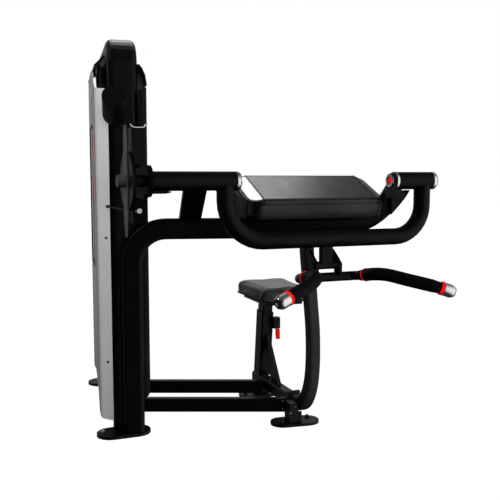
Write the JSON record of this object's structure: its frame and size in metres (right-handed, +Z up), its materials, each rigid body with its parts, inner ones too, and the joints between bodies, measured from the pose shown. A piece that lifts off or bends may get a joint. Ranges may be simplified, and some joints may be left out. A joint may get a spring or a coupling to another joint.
{
  "type": "biceps curl machine",
  "caption": "Seated biceps curl machine with a covered weight stack tower, a swinging U-shaped arm with a hanging curl handle, a sloped arm pad and a height-adjustable seat.",
  "frame": {"origin": "centre of the bounding box's footprint, on the floor", "axes": "+Z up; +X along the arm's pivot axis away from the weight tower; +Y from the handle towards the seat"},
  "size_m": [1.2735, 1.4912, 1.528],
  "materials": {
    "frame_black": "satin black powder coat",
    "shroud_silver": "silver grey painted sheet",
    "cover_grey": "dark grey painted sheet",
    "plate_black": "black painted plate",
    "chrome": "polished chrome plate",
    "rubber_black": "matt black moulded rubber",
    "pad_black": "black upholstery vinyl, slight sheen",
    "red_plastic": "red moulded plastic",
    "belt_black": "black reinforced flat belt",
    "pulley_plastic": "black moulded nylon",
    "cam_grey": "dark grey paint"
  },
  "bodies": {
    "frame": {"tower_arch": "frame_black", "base_rail": "frame_black", "near_foot": "frame_black", "far_foot": "frame_black", "stack_shelf": "frame_black", "shroud_cap": "frame_black", "rear_cover_cap": "frame_black", "pulley_bracket": "frame_black", "entry_bracket": "frame_black", "main_frame_tube": "frame_black", "pivot_strut": "frame_black", "pivot_housing": "frame_black", "pivot_carrier": "frame_black", "right_bearing": "frame_black", "main_upright": "frame_black", "cross_member": "frame_black", "front_foot": "frame_black", "rear_foot": "frame_black", "near_beam": "frame_black", "far_beam": "frame_black", "pad_bracket": "frame_black", "seat_post": "frame_black", "seat_brace": "frame_black", "stack_shroud": "shroud_silver", "rear_cover": "cover_grey", "weight_plate_1": "plate_black", "weight_plate_2": "plate_black", "weight_plate_3": "plate_black", "weight_plate_4": "plate_black", "weight_plate_5": "plate_black", "guide_rod_near": "chrome", "guide_rod_far": "chrome", "accessory_peg": "rubber_black", "arm_pad": "pad_black", "drive_belt": "belt_black", "belt_drop": "belt_black"},
    "arm": {"pivot_shaft": "chrome", "left_hub": "frame_black", "right_hub": "frame_black", "right_pivot_pin": "chrome", "u_arm": "frame_black", "cam_wheel": "cam_grey", "counterweight_lever": "cam_grey", "drop_link": "frame_black"},
    "handle": {"swivel_bracket": "frame_black", "handlebar": "frame_black", "grip_left": "rubber_black", "grip_right": "rubber_black"},
    "stack": {"top_plate": "plate_black", "weight_plate_6": "plate_black", "weight_plate_7": "plate_black", "weight_plate_8": "plate_black"},
    "pin": {"selector_pin": "red_plastic"},
    "seat": {"seat_slider": "frame_black", "seat_pad": "pad_black"},
    "lever": {"seat_lever": "red_plastic"},
    "start_pin": {"start_pin": "chrome"},
    "entry_wheel": {"entry_pulley": "pulley_plastic"},
    "near_wheel": {"upper_pulley_near": "pulley_plastic"},
    "far_wheel": {"upper_pulley_far": "pulley_plastic"}
  },
  "joints": [
    {"name": "arm_swing", "type": "hinge", "parent": "frame", "child": "arm", "pos_m": [-0.28075, -0.41044, 0.986], "axis": [-1, 0, 0], "range_deg": [0, 110]},
    {"name": "handle_swivel", "type": "hinge", "parent": "arm", "child": "handle", "pos_m": [0.17425, -0.41044, 0.673], "axis": [1, 0, 0], "range_deg": [-45, 0]},
    {"name": "stack_lift", "type": "slide", "parent": "frame", "child": "stack", "axis": [0, 0, 1], "range_m": [0, 0.19], "deforming": ["belt_drop"]},
    {"name": "pin_pull", "type": "slide", "parent": "stack", "child": "pin", "axis": [-0.993, 0.1184, 0], "range_m": [0, 0.11]},
    {"name": "seat_height", "type": "slide", "parent": "frame", "child": "seat", "axis": [0, -0.1197, 0.9928], "range_m": [-0.045, 0.1]},
    {"name": "seat_lever_turn", "type": "hinge", "parent": "frame", "child": "lever", "pos_m": [0.20525, 0.12826, 0.3178], "axis": [-1, 0, 0], "range_deg": [0, 25], "stiffness_Nm_per_rad": 0.5},
    {"name": "start_pin_pull", "type": "slide", "parent": "frame", "child": "start_pin", "axis": [0, -1, 0], "range_m": [0, 0.025], "stiffness_N_per_m": 400},
    {"name": "entry_wheel_spin", "type": "hinge", "parent": "frame", "child": "entry_wheel", "pos_m": [-0.57357, 0.05643, 0.926], "axis": [0.993, -0.1184, 0], "continuous": true},
    {"name": "near_wheel_spin", "type": "hinge", "parent": "frame", "child": "near_wheel", "pos_m": [-0.56469, 0.1309, 1.395], "axis": [0.993, -0.1184, 0], "continuous": true},
    {"name": "far_wheel_spin", "type": "hinge", "parent": "frame", "child": "far_wheel", "pos_m": [-0.46932, 0.29728, 1.395], "axis": [0.993, -0.1184, 0], "continuous": true}
  ],
  "couplings": [
    {"joint": "stack_lift", "follows": "arm_swing", "m_per_rad": 0.0975},
    {"joint": "entry_wheel_spin", "follows": "arm_swing", "ratio": -2.6},
    {"joint": "near_wheel_spin", "follows": "arm_swing", "ratio": 2.6},
    {"joint": "far_wheel_spin", "follows": "arm_swing", "ratio": 2.6}
  ]
}
